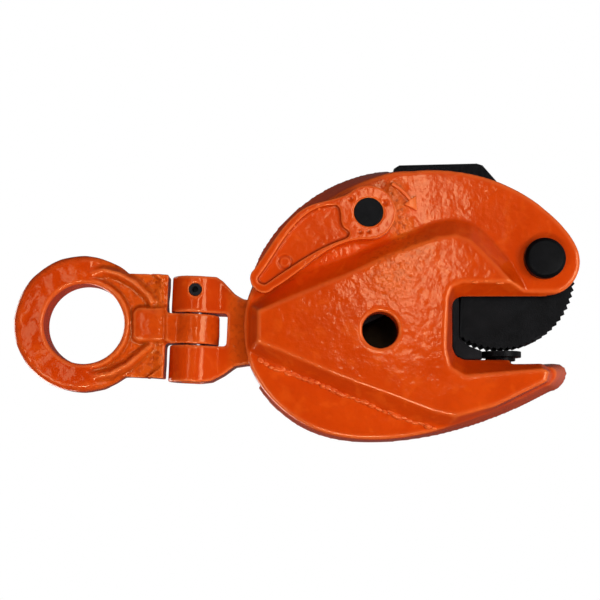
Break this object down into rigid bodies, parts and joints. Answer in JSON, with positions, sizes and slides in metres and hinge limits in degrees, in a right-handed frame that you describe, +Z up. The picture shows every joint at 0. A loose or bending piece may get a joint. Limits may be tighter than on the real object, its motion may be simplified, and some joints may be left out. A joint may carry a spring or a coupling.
{
  "type": "plate lifting clamp",
  "caption": "Vertical plate lifting clamp with a hinged hoist eye, a toothed cam that closes on a swivelling pad in the jaw slot, and a side lock lever.",
  "frame": {"origin": "centre of the hoist eye's bore, on the middle plane between the two cheeks", "axes": "+Z up as the clamp hangs, +X across the clamp towards the side with the lock lever, -Y towards the front cheek that carries the lever"},
  "size_m": [0.1055, 0.039, 0.2121],
  "materials": {
    "orange_paint": "gloss orange enamel over a rough forging",
    "black_steel": "black phosphate, satin",
    "bright_steel": "turned and ground, oiled",
    "bronze": "sintered, plain"
  },
  "bodies": {
    "eye": {"hoist_eye": "orange_paint"},
    "clevis": {"clevis": "orange_paint", "eye_pin": "bright_steel", "eye_pin_roll_pin": "black_steel", "neck_pin": "bright_steel"},
    "link": {"pull_link_front": "black_steel", "pull_link_rear": "black_steel"},
    "housing": {"housing_front": "orange_paint", "housing_rear": "orange_paint", "jaw_stop": "black_steel", "cam_pin": "black_steel", "cam_pin_circlip": "black_steel", "cam_spacer_front": "bright_steel", "cam_spacer_rear": "bright_steel"},
    "cam": {"cam": "black_steel", "cam_bush": "bronze", "cam_link_pin": "bright_steel", "spring_post": "bright_steel"},
    "lock": {"lock_lever": "orange_paint", "lever_shaft": "black_steel", "lever_washer": "bright_steel", "lever_shaft_circlip": "black_steel", "lock_crank": "black_steel", "crank_pin": "bright_steel", "lock_spring": "bright_steel"},
    "pad": {"swivel_pad": "black_steel", "pad_circlip": "black_steel"}
  },
  "joints": [
    {"name": "eye_hinge", "type": "hinge", "parent": "eye", "child": "clevis", "pos_m": [-0.002, 0, -0.04135], "axis": [0.9993, 0, -0.0384], "range_deg": [-90, 90]},
    {"name": "shank_slide", "type": "slide", "parent": "clevis", "child": "housing", "axis": [0, 0, 1], "range_m": [0, 0.011], "deforming": ["lock_spring"]},
    {"name": "link_swing", "type": "hinge", "parent": "clevis", "child": "link", "pos_m": [-0.0028, 0, -0.08695], "axis": [0, 1, 0], "range_deg": [-4, 0]},
    {"name": "cam_pivot", "type": "hinge", "parent": "housing", "child": "cam", "pos_m": [0.0234, 0, -0.17155], "axis": [0, 1, 0], "range_deg": [0, 45]},
    {"name": "lever_turn", "type": "hinge", "parent": "housing", "child": "lock", "pos_m": [0.0399, 0, -0.10625], "axis": [0, 1, 0], "range_deg": [0, 95], "deforming": ["lock_spring"]},
    {"name": "pad_swivel", "type": "hinge", "parent": "housing", "child": "pad", "pos_m": [-0.0137, 0, -0.15675], "axis": [1, 0, 0], "continuous": true}
  ],
  "couplings": [
    {"joint": "cam_pivot", "follows": "shank_slide", "rad_per_m": 70.511},
    {"joint": "link_swing", "follows": "shank_slide", "rad_per_m": -5.7596}
  ]
}
